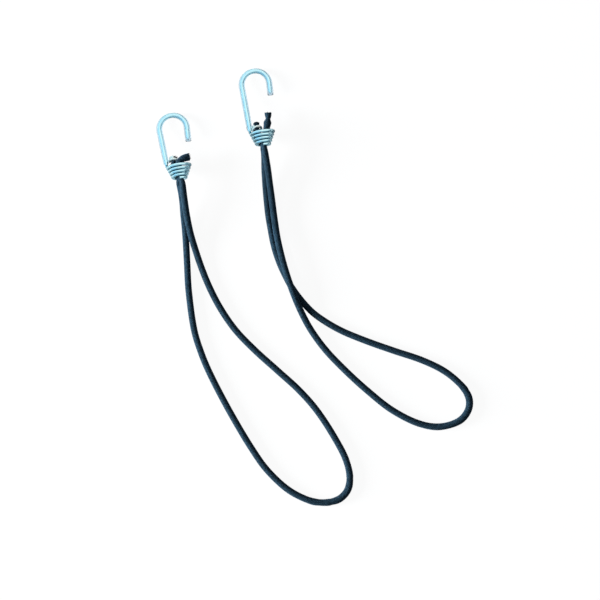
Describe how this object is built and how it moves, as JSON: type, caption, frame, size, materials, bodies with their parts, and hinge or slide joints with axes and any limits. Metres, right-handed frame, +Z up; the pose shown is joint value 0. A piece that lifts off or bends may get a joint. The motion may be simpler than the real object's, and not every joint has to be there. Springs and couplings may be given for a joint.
{
  "type": "bungee cord pair",
  "caption": "Pair of black elastic cord loops lying flat, each held in the wound wire cone of a hook with a clear sleeve.",
  "frame": {"origin": "on the table under the middle of the pair's bounding box", "axes": "+Z up from the table, +Y along the pair's length towards the hooks, +X to the right as seen from above"},
  "size_m": [0.3, 0.4155, 0.0247],
  "materials": {
    "hook_steel": "bright zinc plated wire",
    "clear_vinyl": "clear glossy vinyl tube",
    "ring_steel": "bright whitish wire",
    "braided_jacket": "tight black synthetic braid with a slight sheen",
    "core_rubber": "matt black rubber strand"
  },
  "bodies": {
    "hooks": {"hook_wire_a": "hook_steel", "hook_sleeve_a": "clear_vinyl", "clench_ring_a": "ring_steel", "hook_wire_b": "hook_steel", "hook_sleeve_b": "clear_vinyl", "clench_ring_b": "ring_steel"},
    "cord_a": {"jacket_a": "braided_jacket", "core_strand_a_1": "core_rubber", "core_strand_a_2": "core_rubber", "core_strand_a_3": "core_rubber", "core_strand_a_4": "core_rubber", "core_strand_a_5": "core_rubber", "core_strand_a_6": "core_rubber", "core_strand_a_7": "core_rubber"},
    "cord_b": {"jacket_b": "braided_jacket", "core_strand_b_1": "core_rubber", "core_strand_b_2": "core_rubber", "core_strand_b_3": "core_rubber", "core_strand_b_4": "core_rubber", "core_strand_b_5": "core_rubber", "core_strand_b_6": "core_rubber", "core_strand_b_7": "core_rubber"}
  },
  "joints": [
    {"name": "stretch_a", "type": "slide", "parent": "hooks", "child": "cord_a", "axis": [0.4437, -0.8962, 0], "range_m": [0, 0.25], "stiffness_N_per_m": 400, "deforming": ["jacket_a", "core_strand_a_1", "core_strand_a_2", "core_strand_a_3", "core_strand_a_4", "core_strand_a_5", "core_strand_a_6", "core_strand_a_7"]},
    {"name": "stretch_b", "type": "slide", "parent": "hooks", "child": "cord_b", "axis": [0.5848, -0.8112, 0], "range_m": [0, 0.25], "stiffness_N_per_m": 400, "deforming": ["jacket_b", "core_strand_b_1", "core_strand_b_2", "core_strand_b_3", "core_strand_b_4", "core_strand_b_5", "core_strand_b_6", "core_strand_b_7"]}
  ]
}
